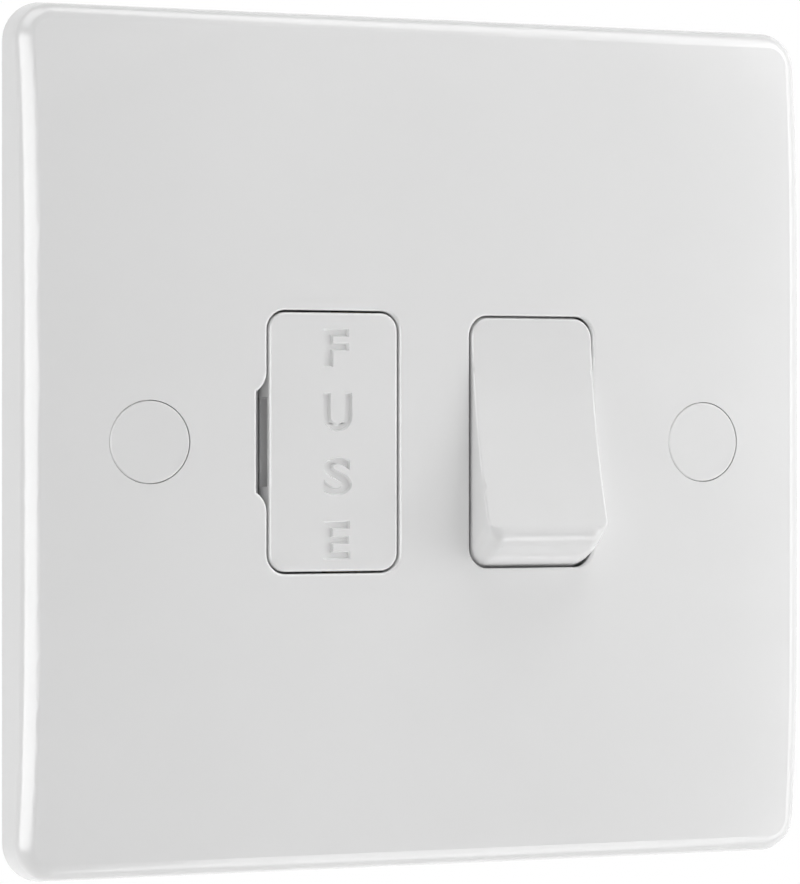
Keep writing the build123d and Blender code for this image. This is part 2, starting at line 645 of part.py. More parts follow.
def rear_housing():
    """Moulded tray behind the plate, with wire entries above and below and screw holes in its back."""
    depth = CEILING_Z - HOUSING_REAR_Z
    outside = RectangleRounded(HOUSING_W, HOUSING_H, HOUSING_CORNER_R)
    tray = extrude(Pos(0, 0, HOUSING_REAR_Z) * outside, depth)
    inside = RectangleRounded(
        HOUSING_W - 2 * HOUSING_WALL,
        HOUSING_H - 2 * HOUSING_WALL,
        HOUSING_CORNER_R - HOUSING_WALL,
    )
    tray -= extrude(Pos(0, 0, FLOOR_Z) * inside, depth)
    tray += housing_supports()
    for side in ROWS.values():
        tray -= pillar(side * FIX_X, 0, FIX_BOSS_D + 2 * BOSS_CLEAR, 0, CEILING_Z)
    for x, y in column_places():
        tray -= pillar(x, y, HOUSING_SCREW_D + 2 * HOUSING_SCREW_FIT, HOUSING_REAR_Z, COLUMN_SPLIT_Z + 1)
        tray -= pillar(x, y, HOUSING_HEAD_D + HEAD_CLEAR, HOUSING_REAR_Z - 1, HOUSING_REAR_Z + HEAD_RECESS)
    screw_y = TERMINAL_OUT_Y - WIRE_BORE_LEN / 2
    for x in TERMINAL_XS.values():
        for side in ROWS.values():
            entry_y = side * (HOUSING_H - HOUSING_WALL) / 2
            tray -= Pos(x, entry_y, WIRE_Z) * Rot(90, 0, 0) * Cylinder(WIRE_ENTRY_D / 2, 2 * HOUSING_WALL)
            tray -= pillar(x, side * screw_y, CLAMP_HEAD_D + HEAD_CLEAR, HOUSING_REAR_Z - 1, FLOOR_Z)
    return tray


def all_pieces():
    """Every piece of the unit by name, at rest in the off position."""
    crown = crown_block()
    sides = (-1, 1)
    pieces = {
        "front_plate": front_plate(crown),
        "rear_housing": rear_housing(),
        "housing_screws": Compound([housing_screw(x, y) for x, y in column_places()]),
        "fixing_screws": Compound([fixing_screw(side) for side in sides]),
        "screw_cap_left": screw_cap(crown, -1),
        "screw_cap_right": screw_cap(crown, 1),
        "rocker": TILTED * rocker(),
        "fuse_carrier": fuse_drawer(crown),
        "fuse_body": fuse_body(),
        "fuse_end_caps": Compound([fuse_end_cap(side) for side in sides]),
        "live_link": live_link(),
        "load_live_clip": load_live_clip(),
        "neutral_post": neutral_post(),
        "earth_strap": earth_strap(),
    }
    for pole, pole_x in POLES.items():
        tip = contact_tip(0, CONTACT_Y, -BAR_BELOW, -1)
        pieces[f"plunger_{pole}"] = TILTED * plunger(pole)
        pieces[f"plunger_spring_{pole}"] = TILTED * plunger_spring(pole)
        pieces[f"contact_bar_{pole}"] = bar_place(pole) * contact_bar()
        pieces[f"moving_tip_{pole}"] = bar_place(pole) * tip
        pieces[f"supply_{pole}_contact"] = supply_contact(pole)
    fixed_tips = [contact_tip(pole_x, CONTACT_Y, STRIP_TOP_Z, 1) for pole_x in POLES.values()]
    pieces["fixed_contact_tips"] = Compound(fixed_tips)
    clamps = []
    for row in ROWS:
        for kind in TERMINAL_XS:
            pieces[f"terminal_{row}_{kind}"] = terminal(kind, row)
            clamps.append(clamp_screw(kind, row))
    pieces["terminal_screws"] = Compound(clamps)
    return pieces


os.makedirs("parts", exist_ok=True)
for name, piece in all_pieces().items():
    upright = Rot(90, 0, 0) * piece
    export_step(upright, f"parts/{name}.step")
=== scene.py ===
# %% [markdown]
# # A switched fused spur unit
# This lesson dresses a wall accessory: a white moulded plate with a rocker switch, a pull-out fuse drawer
# and two round screw caps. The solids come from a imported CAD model, which is loaded as a fixed frame.
# Blender adds what a drawing leaves out: finishes, the lettering on the drawer, threads, and soft light.

# %% Load the frame
import bmesh
import bpy
import json
from math import cos, pi, radians, sin
from mathutils import Matrix, Vector
from mathutils.kdtree import KDTree


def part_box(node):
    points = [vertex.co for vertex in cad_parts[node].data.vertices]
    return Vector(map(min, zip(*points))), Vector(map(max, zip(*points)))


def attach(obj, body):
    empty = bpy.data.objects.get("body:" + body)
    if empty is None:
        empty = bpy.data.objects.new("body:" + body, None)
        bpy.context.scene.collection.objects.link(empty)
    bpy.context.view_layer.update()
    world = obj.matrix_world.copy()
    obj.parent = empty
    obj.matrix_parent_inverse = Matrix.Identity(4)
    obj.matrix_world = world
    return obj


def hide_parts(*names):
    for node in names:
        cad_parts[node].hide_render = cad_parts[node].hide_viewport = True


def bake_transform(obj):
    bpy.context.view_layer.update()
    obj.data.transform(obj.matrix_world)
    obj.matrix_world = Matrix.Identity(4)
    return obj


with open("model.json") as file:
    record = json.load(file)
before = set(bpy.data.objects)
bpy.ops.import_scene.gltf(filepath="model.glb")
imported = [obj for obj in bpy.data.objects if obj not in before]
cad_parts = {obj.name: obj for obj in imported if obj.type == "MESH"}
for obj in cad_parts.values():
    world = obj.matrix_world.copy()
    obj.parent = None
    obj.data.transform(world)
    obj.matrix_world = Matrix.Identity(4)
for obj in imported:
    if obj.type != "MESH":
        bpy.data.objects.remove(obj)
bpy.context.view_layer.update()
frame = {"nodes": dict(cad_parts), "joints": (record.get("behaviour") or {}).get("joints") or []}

MM = 0.001
nodes = frame["nodes"]
scene = bpy.context.scene
scene.view_settings.view_transform = "Standard"

# %% [markdown]
# ## The camera
# The plate was photographed level with its middle, from a little to the left, through a long lens. A long
# lens could be faked with an orthographic camera, but then the right edge would not shrink as it does. The
# distance, the angle and the lens were found by fitting the plate's corners and the two caps.

# %% Camera
FRAME_PIXELS = 884
FOCAL_PIXELS = 4125.83
SENSOR = 36.0
CAMERA_TURN = radians(23.188)
CAMERA_DISTANCE = 418.437 * MM
CAMERA_TARGET = Vector((-0.822 * MM, 0, 0))

lens = bpy.data.cameras.new("lens")
lens.sensor_width = SENSOR
lens.lens = FOCAL_PIXELS / FRAME_PIXELS * SENSOR
camera = bpy.data.objects.new("camera", lens)
camera.location = CAMERA_TARGET - CAMERA_DISTANCE * Vector((sin(CAMERA_TURN), cos(CAMERA_TURN), 0))
camera.rotation_euler = (pi / 2, 0, -CAMERA_TURN)
scene.collection.objects.link(camera)
scene.camera = camera
print("lens", round(lens.lens, 1), "mm, camera at", [round(c, 4) for c in camera.location])

# %% [markdown]
# ## Small helpers for node materials
# Every finish below starts from the same few nodes: object coordinates, a noise, a blend between two
# colours, a range and a bump. They could be wired anew for each material in the shader editor. Writing them
# once keeps each material to the lines that make it different.

# %% Node helpers
NOISE_LOW = 0.3
NOISE_HIGH = 0.7
EVEN = (1, 1, 1)


def new_finish(name):
    """A material with its node tree and its main shader."""
    material = bpy.data.materials.new(name)
    material.use_nodes = True
    tree = material.node_tree
    return material, tree, tree.nodes["Principled BSDF"]


def noise(tree, waves, detail, stretch=EVEN):
    """Noise on object coordinates, in waves per metre, stretched along the axes."""
    place = tree.nodes.new("ShaderNodeTexCoord")
    mapping = tree.nodes.new("ShaderNodeMapping")
    mapping.inputs["Scale"].default_value = stretch
    texture = tree.nodes.new("ShaderNodeTexNoise")
    texture.inputs["Scale"].default_value = waves
    texture.inputs["Detail"].default_value = detail
    tree.links.new(place.outputs["Object"], mapping.inputs["Vector"])
    tree.links.new(mapping.outputs["Vector"], texture.inputs["Vector"])
    return texture.outputs["Fac"]


def ranged(tree, value, low, high):
    """The middle of a noise spread between two numbers."""
    spread = tree.nodes.new("ShaderNodeMapRange")
    spread.inputs["From Min"].default_value = NOISE_LOW
    spread.inputs["From Max"].default_value = NOISE_HIGH
    spread.inputs["To Min"].default_value = low
    spread.inputs["To Max"].default_value = high
    tree.links.new(value, spread.inputs["Value"])
    return spread.outputs["Result"]


def tinted(tree, value, first, second):
    """A colour between two others, chosen by the middle of a noise."""
    ramp = tree.nodes.new("ShaderNodeValToRGB")
    ramp.color_ramp.elements[0].position = NOISE_LOW
    ramp.color_ramp.elements[1].position = NOISE_HIGH
    ramp.color_ramp.elements[0].color = (*first, 1)
    ramp.color_ramp.elements[1].color = (*second, 1)
    tree.links.new(value, ramp.inputs["Fac"])
    return ramp.outputs["Color"]


def bumped(tree, height, depth):
    """A bump whose full height is a real depth in metres."""
    bump = tree.nodes.new("ShaderNodeBump")
    bump.inputs["Strength"].default_value = 1.0
    bump.inputs["Distance"].default_value = depth
    tree.links.new(height, bump.inputs["Height"])
    return bump.outputs["Normal"]


print("noise is spread from", NOISE_LOW, "to", NOISE_HIGH)

# %% [markdown]
# ## Three layers in every finish
# A moulded or machined surface is never quite even, and a plain colour would look like paper. Painted
# textures could show that, but they would need an unwrapped map for every piece. Here each finish has three
# layers of noise instead: one clouds the colour, one varies the gloss, and one raises a shallow bump. Each
# noise is given as its waves and detail, and its stretch where it has a grain.

# %% Layered finish
NO_METAL = {"Metallic": 0.0}
METAL = {"Metallic": 1.0}
finishes = {}


def layered_finish(name, colours, clouds, roughness, sheen, depth, marks, settings):
    """A finish whose colour, roughness and bump each follow a noise, kept under its name."""
    finishes[name], tree, shader = new_finish(name)
    tree.links.new(tinted(tree, noise(tree, *clouds), *colours), shader.inputs["Base Color"])
    tree.links.new(ranged(tree, noise(tree, *sheen), *roughness), shader.inputs["Roughness"])
    tree.links.new(bumped(tree, noise(tree, *marks), depth), shader.inputs["Normal"])
    for socket, value in settings.items():
        shader.inputs[socket].default_value = value


print("layers for the colour, the roughness and the normal")

# %% [markdown]
# ## Glossy mouldings
# Plate, rocker, drawer and caps are thermoset mouldings: a hard, slightly glossy white. The plungers inside
# are a red-brown plastic with the same kind of skin. A coat layer would give a second, sharper gloss, as on
# paint, but a moulding has only one skin, so the main shader's own gloss is used. The clouds change the
# whites by about one part in fifty, and the bump is the faint ripple of a moulded skin.

# %% Glossy mouldings
MOULDING_IOR = 1.58
MOULDING_CLOUDS = (45, 3)
MOULDING_SHEEN = (260, 4)
MOULDING_MARKS = (520, 2)
GLOSS_BELOW = 0.03
GLOSS_ABOVE = 0.04
# Each row holds the deep and the pale colour, the roughness, the depth of the ripple and the shine.
MOULDINGS = {
    "plate_white": ((0.785, 0.785, 0.785), (0.80, 0.80, 0.80), 0.19, 0.004 * MM, 0.5),
    "rocker_white": ((0.75, 0.75, 0.75), (0.765, 0.765, 0.765), 0.22, 0.004 * MM, 0.4),
    "carrier_white": ((0.775, 0.775, 0.775), (0.79, 0.79, 0.79), 0.2, 0.004 * MM, 0.5),
    "cap_white": ((0.775, 0.775, 0.775), (0.79, 0.79, 0.79), 0.2, 0.004 * MM, 0.5),
    "plunger_plastic": ((0.52, 0.20, 0.10), (0.60, 0.25, 0.13), 0.4, 0.006 * MM, 0.5),
}

for name, (deep, pale, gloss, ripple, shine) in MOULDINGS.items():
    layered_finish(
        name,
        colours=(deep, pale),
        clouds=MOULDING_CLOUDS,
        roughness=(gloss - GLOSS_BELOW, gloss + GLOSS_ABOVE),
        sheen=MOULDING_SHEEN,
        depth=ripple,
        marks=MOULDING_MARKS,
        settings={"IOR": MOULDING_IOR, "Specular IOR Level": shine},
    )
print("glossy mouldings", sorted(finishes))

# %% [markdown]
# ## The housing and the fuse
# The housing is moulded in a spark-eroded tool, which leaves it dull and finely pitted. The fuse's barrel is
# plain fired ceramic, off-white with fine specks. The pits could be cut into the mesh, but they are far
# smaller than its triangles, so a deeper bump with many more waves stands for them.

# %% Housing and fuse
layered_finish(
    "housing_white",
    colours=((0.70, 0.70, 0.69), (0.74, 0.74, 0.73)),
    clouds=(60, 3),
    roughness=(0.44, 0.58),
    sheen=(900, 4),
    depth=0.03 * MM,
    marks=(2600, 4),
    settings=NO_METAL,
)
layered_finish(
    "fuse_ceramic",
    colours=((0.66, 0.63, 0.56), (0.74, 0.71, 0.65)),
    clouds=(1500, 5),
    roughness=(0.3, 0.42),
    sheen=(700, 3),
    depth=0.01 * MM,
    marks=(1200, 3),
    settings=NO_METAL,
)
print("finishes so far", len(finishes))

# %% [markdown]
# ## The metals
# The screws are zinc-plated steel, the springs are steel wire, the terminals are machined brass with fine
# tool marks, the strips are rolled brass with a grain along them, the fuse's end cups are plated, and the
# contacts are silver. A grain could come from an anisotropic shader, but that needs tangents that follow
# each piece, so the noise is stretched along one axis instead.

# %% Metals
METAL_CLOUDS = (320, 4)
METAL_SHEEN = (1400, 3)
METAL_MARKS = (2400, 2)
POLISH_BELOW = 0.08
POLISH_ABOVE = 0.1
# Each row holds the dark and the light colour, the roughness, the depth of the marks and their stretch.
METALS = {
    "screw_steel": ((0.56, 0.56, 0.55), (0.68, 0.68, 0.66), 0.32, 0.004 * MM, EVEN),
    "spring_steel": ((0.44, 0.44, 0.45), (0.55, 0.55, 0.56), 0.3, 0.003 * MM, EVEN),
    "terminal_brass": ((0.66, 0.47, 0.21), (0.78, 0.58, 0.29), 0.3, 0.006 * MM, (1, 6, 1)),
    "strip_brass": ((0.68, 0.50, 0.24), (0.80, 0.61, 0.32), 0.26, 0.004 * MM, (1, 1, 6)),
    "plated_brass": ((0.68, 0.66, 0.61), (0.78, 0.76, 0.71), 0.2, 0.002 * MM, (1, 1, 5)),
    "contact_silver": ((0.76, 0.75, 0.73), (0.86, 0.85, 0.83), 0.26, 0.003 * MM, EVEN),
}

for name, (dark, light, polish, depth, stretch) in METALS.items():
    layered_finish(
        name,
        colours=(dark, light),
        clouds=METAL_CLOUDS,
        roughness=(polish - POLISH_BELOW, polish + POLISH_ABOVE),
        sheen=(*METAL_SHEEN, stretch),
        depth=depth,
        marks=(*METAL_MARKS, stretch),
        settings=METAL,
    )
print("metals", len(METALS), "of", len(finishes), "finishes")

# %% [markdown]
# ## Finishes on the CAD pieces
# A real unit is put together from bins of like parts, and every part in a bin has one finish. The finishes
# could be set piece by piece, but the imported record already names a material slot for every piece, so the
# finish is chosen by that name and no piece can be forgotten.

# %% Dress the CAD pieces
for name, node in nodes.items():
    slot_name = node.data.materials[0].name.split(".")[0]
    if slot_name not in finishes:
        raise RuntimeError(f"no finish named {slot_name} for {name}")
    node.data.materials[0] = finishes[slot_name]
print("dressed", len(nodes), "CAD pieces")

# %% [markdown]
# ## The word on the drawer
# The drawer carries one plain word, sunk into its face letter under letter, so that whoever looks for the
# fuse knows where to pull. Lettering could be painted on, or drawn by a bump, but neither catches light on
# its walls. So each letter is cut out of the face. It starts as flat text, made a little bolder by the
# curve's offset, and is turned into a mesh and stretched to the width and height of the real letter.

# %% Flat letters
LETTER_WIDTHS = {"F": 2.75 * MM, "U": 3.1 * MM, "S": 3.05 * MM, "E": 2.9 * MM}
LETTER_HEIGHT = 3.8 * MM
LETTER_WELD = 0.005 * MM
# The weight is a share of the font's own size.
LETTER_WEIGHT = 0.036


def box_of(shape):
    """Lowest and highest corner of a bmesh."""
    corners = [vert.co for vert in shape.verts]
    low = Vector([min(corner[axis] for corner in corners) for axis in range(3)])
    high = Vector([max(corner[axis] for corner in corners) for axis in range(3)])
    return low, high


def flat_letter(letter, width):
    """Flat letter as a bmesh, with its left side at zero and its height about zero."""
    outline = bpy.data.curves.new(letter, "FONT")
    outline.body = letter
    outline.offset = LETTER_WEIGHT
    writing = bpy.data.objects.new(letter, outline)
    flat = bpy.data.meshes.new_from_object(writing)
    shape = bmesh.new()
    shape.from_mesh(flat)
    bpy.data.objects.remove(writing)
    bpy.data.curves.remove(outline)
    bpy.data.meshes.remove(flat)
    low, high = box_of(shape)
    bmesh.ops.translate(shape, verts=shape.verts[:], vec=(-low.x, -(low.y + high.y) / 2, 0))
    stretch = (width / (high.x - low.x), LETTER_HEIGHT / (high.y - low.y), 1)
    bmesh.ops.scale(shape, verts=shape.verts[:], vec=stretch)
    bmesh.ops.remove_doubles(shape, verts=shape.verts[:], dist=LETTER_WELD)
    return shape


print("letters", "".join(LETTER_WIDTHS), LETTER_HEIGHT / MM, "mm high")

# %% [markdown]
# ## Cutters for the letters
# A moulded letter has sloping walls, so that it leaves the mould. Straight walls with a bevel would do, but
# the slope comes for free here: each flat letter is extruded outwards, and its floor is inset as it goes
# down, which narrows it.

# %% Letter cutters
LETTER_LEFT = -12.17 * MM
LETTER_TOP = 9.31 * MM
LETTER_PITCH = 6.34 * MM
LETTER_DEPTH = 0.42 * MM
LETTER_SLOPE = 0.16 * MM
CUTTER_RISE = 0.5 * MM


def letter_cutter(letter, width, middle, face):
    """Cutter for one letter, which stands on the plane of the drawer's face and narrows below it."""
    shape = flat_letter(letter, width)
    floor_faces = shape.faces[:]
    lid = bmesh.ops.extrude_face_region(shape, geom=floor_faces)["geom"]
    lid_verts = [item for item in lid if isinstance(item, bmesh.types.BMVert)]
    bmesh.ops.translate(shape, verts=lid_verts, vec=(0, 0, CUTTER_RISE))
    bmesh.ops.recalc_face_normals(shape, faces=shape.faces[:])
    bmesh.ops.inset_region(
        shape,
        faces=floor_faces,
        thickness=LETTER_SLOPE,
        depth=LETTER_DEPTH,
        use_even_offset=True,
        use_boundary=True,
    )
    bmesh.ops.recalc_face_normals(shape, faces=shape.faces[:])
    stand = Matrix.Translation((LETTER_LEFT, face, middle)) @ Matrix.Rotation(pi / 2, 4, "X")
    bmesh.ops.transform(shape, matrix=stand, verts=shape.verts[:])
    return shape


drawer_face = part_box("fuse_carrier")[0].y
cutters = bpy.data.meshes.new("letter_cutters")
stack = bmesh.new()
for place, (letter, width) in enumerate(LETTER_WIDTHS.items()):
    shape = letter_cutter(letter, width, LETTER_TOP - place * LETTER_PITCH, drawer_face)
    shape.to_mesh(cutters)
    stack.from_mesh(cutters)
    shape.free()
stack.to_mesh(cutters)
open_edges = sum(not edge.is_manifold for edge in stack.edges)
stack.free()
print("letter cutters", len(cutters.polygons), "faces,", open_edges, "open edges")

# %% [markdown]
# ## From a CAD piece to a worked one
# Some pieces need more than a finish, and each of those starts from a copy of its CAD piece. A CAD mesh is
# loose triangles, which would come apart at the first cut, so the copy's doubled points are merged into one
# skin. At the end the piece needs its shading back, smooth on the curves and sharp at the corners. Corners
# could be marked by hand, but here every edge over a set angle is marked, and weighted normals keep the
# flat faces flat.

# %% Piece helpers
WELD = 0.002 * MM
SHARP_ANGLE = radians(32)


def merged_copy(node_name):
    """Copy of a CAD piece as one closed skin, because its own mesh is loose triangles."""
    shape = bmesh.new()
    shape.from_mesh(nodes[node_name].data)
    bmesh.ops.remove_doubles(shape, verts=shape.verts[:], dist=WELD)
    return shape


def new_piece(name, shape, body, slot_name):
    """Object made from a bmesh, with a finish and smooth shading, which rides on a body if one is named."""
    mesh = bpy.data.meshes.new(name)
    shape.to_mesh(mesh)
    shape.free()
    for attribute in ("custom_normal", "sharp_edge", "sharp_face"):
        if attribute in mesh.attributes:
            mesh.attributes.remove(mesh.attributes[attribute])
    mesh.materials.clear()
    mesh.materials.append(finishes[slot_name])
    for polygon in mesh.polygons:
        polygon.material_index = 0
    mesh.shade_smooth()
    mesh.set_sharp_from_angle(angle=SHARP_ANGLE)
    piece = bpy.data.objects.new(name, mesh)
    scene.collection.objects.link(piece)
    weighted = piece.modifiers.new("flat_faces_stay_flat", "WEIGHTED_NORMAL")
    weighted.keep_sharp = True
    if body:
        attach(piece, body)
    return piece


print("copies are merged within", round(WELD / MM, 4), "mm")

# %% [markdown]
# ## The lettered drawer
# On the real drawer the word is part of the mould. Its outlines could be knifed into the face and pushed in,
# but the face is slightly crowned and the letters are not, so a boolean takes the cutters away instead. The
# exact solver is slower than the fast one, but it leaves the drawer closed.

# %% Lettered drawer
blank = bpy.data.meshes.new("drawer_blank")
shape = merged_copy("fuse_carrier")
shape.to_mesh(blank)
shape.free()
uncut = bpy.data.objects.new("drawer_blank", blank)
knife = bpy.data.objects.new("letter_cutters", cutters)
scene.collection.objects.link(uncut)
scene.collection.objects.link(knife)
cut = uncut.modifiers.new("word", "BOOLEAN")
cut.object = knife
cut.operation = "DIFFERENCE"
cut.solver = "EXACT"
carved = bpy.data.meshes.new_from_object(uncut.evaluated_get(bpy.context.evaluated_depsgraph_get()))
shape = bmesh.new()
shape.from_mesh(carved)
bpy.data.objects.remove(uncut)
bpy.data.objects.remove(knife)
for spent in (blank, cutters, carved):
    bpy.data.meshes.remove(spent)
bmesh.ops.remove_doubles(shape, verts=shape.verts[:], dist=WELD)
drawer = new_piece("lettered_drawer", shape, "fuse_carrier", "carrier_white")
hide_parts("fuse_carrier")
print("lettered drawer", len(drawer.data.polygons), "faces")

# %% [markdown]
# ## Eased rims on the screw caps
# A moulded cap never has a knife edge: its rim is rounded by a fifth of a millimetre, and that rim is what
# draws a thin bright arc inside the dark gap. The drawing leaves it sharp. A bump can't round an outline, so
# the cap's disc is swollen by a hair to narrow the gap, its front is joined into one face, and the rim of
# that face is bevelled.

# %% Eased caps
CAPS = ("screw_cap_left", "screw_cap_right")
CAP_DISC = 1.0 * MM
RIM_RADIUS = 0.2 * MM
RIM_FIT = 0.05 * MM
RIM_SEGMENTS = 4
FORWARD_LIMIT = -0.8


def faces_forward(face):
    """Whether a face looks to the front."""
    return face.normal.y < FORWARD_LIMIT


for cap in CAPS:
    shape = merged_copy(cap)
    low, high = box_of(shape)
    disc_back = low.y + CAP_DISC
    middle = Vector(((low.x + high.x) / 2, 0, (low.z + high.z) / 2))
    swell = 1 + 2 * RIM_FIT / (high.x - low.x)
    disc = [vert for vert in shape.verts if vert.co.y < disc_back]
    bmesh.ops.scale(shape, verts=disc, vec=(swell, 1, swell), space=Matrix.Translation(-middle))
    shape.normal_update()
    front = []
    for face in shape.faces:
        if faces_forward(face) and face.calc_center_median().y < disc_back:
            front.append(face)
    bmesh.ops.dissolve_faces(shape, faces=front)
    shape.normal_update()
    rim = []
    for edge in shape.edges:
        turned = [faces_forward(face) for face in edge.link_faces]
        if any(turned) and not all(turned) and edge.verts[0].co.y < disc_back:
            rim.append(edge)
    bmesh.ops.bevel(
        shape,
        geom=rim,
        offset=RIM_RADIUS,
        segments=RIM_SEGMENTS,
        profile=0.5,
        affect="EDGES",
        material=-1,
        clamp_overlap=True,
    )
    eased = new_piece("eased_" + cap, shape, "unit_frame", "cap_white")
    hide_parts(cap)
    print(eased.name, len(rim), "rim edges,", len(eased.data.polygons), "faces")

# %% [markdown]
# ## The rocker's edges
# The drawing rounds all four edges of the rocker's face alike. On the real one the sides and the far end are
# crisp, and the edge under the thumb is much softer. Bevelling again would need the sharp corner back, so
# each vertex of the drawn rounding slides instead: in the rocker's own level frame, a rounding of one radius
# turns into another by a step that depends only on the two walls' normals and on the vertex's own. The far
# end also moves out by a hair, which narrows the gap beside it.

# %% Rocker frame
# The drawn rocker, about its pivot in the level frame.
FACE_CURVE = 72.17 * MM
FACE_MIDDLE = 6.132 * MM
CORNER_SIDE = 4.75 * MM
CORNER_END = 9.44 * MM
END_ANGLE = radians(66.5)
DRAWN_RADIUS = 0.65 * MM
# The new edges, and how far down the walls the change fades out.
CRISP_RADIUS = 0.25 * MM
THUMB_RADIUS = 1.35 * MM
THUMB_START = 0.2
THUMB_SPAN = 0.7
EASE_LENGTH = 2.0 * MM
GAP_CLOSING = 0.14 * MM
# How far a point may lie outside the rounding and still move with it.
DEPTH_SLACK = 0.1 * MM
ANGLE_SLACK = radians(6)
INWARD_SLACK = 0.1
STILL = Vector((0, 0, 0))

throw = next(joint for joint in frame["joints"] if joint["name"] == "rocker_tilt")
half_throw = radians(sum(throw["range_deg"]) / 2)
level_rocker = Matrix.Rotation(half_throw, 4, "X") @ Matrix.Translation(-Vector(throw["pos_m"]))


def beyond(value, limit):
    """How far a value lies outside a limit, with its sign."""
    return max(abs(value) - limit, 0) * (1 if value > 0 else -1)


def share(value):
    """A value held between nought and one."""
    return max(0, min(1, value))


def rounding_step(place, normal):
    """Step that gives a point of the drawn rounding its new radius, in the level frame."""
    lean = place.z / FACE_CURVE
    forward = Vector((0, -(1 - lean * lean) ** 0.5, -lean))
    depth = place.y + FACE_MIDDLE + FACE_CURVE * (1 - (1 - lean * lean) ** 0.5)
    outward = Vector((beyond(place.x, CORNER_SIDE), 0, beyond(place.z, CORNER_END)))
    if outward.length == 0 or not -DEPTH_SLACK < depth < DRAWN_RADIUS + EASE_LENGTH:
        return STILL
    outward.normalize()
    end_share = outward.z * outward.z
    along = Vector((outward.x, -outward.z * lean, outward.z)).normalized()
    corner = pi / 2 + (END_ANGLE - pi / 2) * end_share
    wall = forward * cos(corner) + along * sin(corner)
    if normal.angle(forward) > corner + ANGLE_SLACK or normal.dot(along) < -INWARD_SLACK:
        return STILL
    thumb = share((-outward.z - THUMB_START) / THUMB_SPAN)
    radius = CRISP_RADIUS + (THUMB_RADIUS - CRISP_RADIUS) * thumb * thumb * (3 - 2 * thumb)
    fade = share(1 - (depth - DRAWN_RADIUS) / EASE_LENGTH)
    step = (DRAWN_RADIUS - radius) * ((forward + wall) / (1 + cos(corner)) - normal)
    return fade * (step + GAP_CLOSING * max(outward.z, 0) ** 2 * along)


print("rocker edges", CRISP_RADIUS / MM, "and", THUMB_RADIUS / MM, "mm")

# %% [markdown]
# ## The eased rocker
# The step needs the surface's normal at every point. The merged copy could work its normals out from its
# triangles, but the CAD mesh still holds those of the drawn surface, so these are added up instead. A tree
# of points finds all the loose triangles that meet at each place.

# %% Eased rocker
SAME_PLACE = 0.004 * MM

drawn = nodes["rocker"].data
normals = [Vector((0, 0, 0)) for vert in drawn.vertices]
for loop, corner_normal in zip(drawn.loops, drawn.corner_normals):
    normals[loop.vertex_index] += corner_normal.vector
nearby = KDTree(len(drawn.vertices))
for vert in drawn.vertices:
    nearby.insert(vert.co, vert.index)
nearby.balance()
shape = merged_copy("rocker")
turn = level_rocker.to_3x3()
moved = 0
for vert in shape.verts:
    normal = Vector((0, 0, 0))
    for place, index, gap in nearby.find_range(vert.co, SAME_PLACE):
        normal += normals[index]
    step = rounding_step(level_rocker @ vert.co, turn @ normal.normalized())
    if step.length > 0:
        vert.co += turn.transposed() @ step
        moved += 1
rocker = new_piece("eased_rocker", shape, "rocker", "rocker_white")
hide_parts("rocker")
print("eased rocker moved", moved, "of", len(rocker.data.vertices), "points")

# %% [markdown]
# ## The springs
# Two small coil springs sit in sockets inside the rocker and push a plunger each. A drawn coil is stiff, so
# a plunger that moves in would cut through it. A real coil closes up: its front end stays in the socket and
# its rear end goes with the plunger. Here each drawn coil is only copied whole in spring steel, on no body.

# %% Springs
for pole in ("live", "neutral"):
    shape = merged_copy("plunger_spring_" + pole)
    level_shape = shape.copy()
    bmesh.ops.transform(level_shape, matrix=level_rocker, verts=level_shape.verts[:])
    low, high = box_of(level_shape)
    level_shape.free()
    middle = (low + high) / 2
    spring = new_piece("giving_spring_" + pole, shape, None, "spring_steel")
    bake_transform(spring)
    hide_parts("plunger_spring_" + pole)

# %% [markdown]
# ## Threads on the fixing screws
# The two long screws behind the caps go into the box in the wall. The drawing gives them a plain shank of
# the thread's outer size. A bump could suggest the thread, but it would leave a smooth edge in outline, so
# a core with a real ridge is spun. Spin moves the ridge along the axis at each step, which turns a ring into
# a helix.

# %% Threaded shank
SHANK_RADIUS = 1.75 * MM
CORE_RADIUS = 1.36 * MM
THREAD_PITCH = 0.6 * MM
THREAD_STEPS = 24
CREST_FLAT = 0.04 * MM
ROOT_FLAT = 0.036 * MM
TIP_TAPER = 0.5 * MM


def threaded_shank(shape, axis_x, top, tip):
    """Core and helical ridge round an axis along Y, added to a bmesh, and the number of its turns."""
    turns = int((tip - top) / THREAD_PITCH) - 1
    axis = {"cent": (axis_x, 0, 0), "axis": (0, 1, 0), "space": Matrix.Identity(4)}
    core_line = [
        (0, top),
        (CORE_RADIUS, top),
        (CORE_RADIUS, tip - TIP_TAPER),
        (CORE_RADIUS / 2, tip),
        (0, tip),
    ]
    core = [shape.verts.new((axis_x + radius, along, 0)) for radius, along in core_line]
    core_edges = [shape.edges.new(pair) for pair in zip(core, core[1:])]
    bmesh.ops.spin(
        shape,
        geom=core + core_edges,
        angle=2 * pi,
        steps=2 * THREAD_STEPS,
        use_merge=True,
        **axis,
    )
    ridge_line = [
        (CORE_RADIUS, ROOT_FLAT),
        (SHANK_RADIUS, THREAD_PITCH / 2 - CREST_FLAT),
        (SHANK_RADIUS, THREAD_PITCH / 2 + CREST_FLAT),
        (CORE_RADIUS, THREAD_PITCH - ROOT_FLAT),
    ]
    ridge = [shape.verts.new((axis_x + radius, top + along, 0)) for radius, along in ridge_line]
    section = shape.faces.new(ridge)
    bmesh.ops.spin(
        shape,
        geom=[section, *section.edges, *ridge],
        angle=2 * pi * turns,
        steps=THREAD_STEPS * turns,
        dvec=(0, THREAD_PITCH / THREAD_STEPS, 0),
        **axis,
    )
    return turns


print("thread", THREAD_PITCH / MM, "mm pitch")

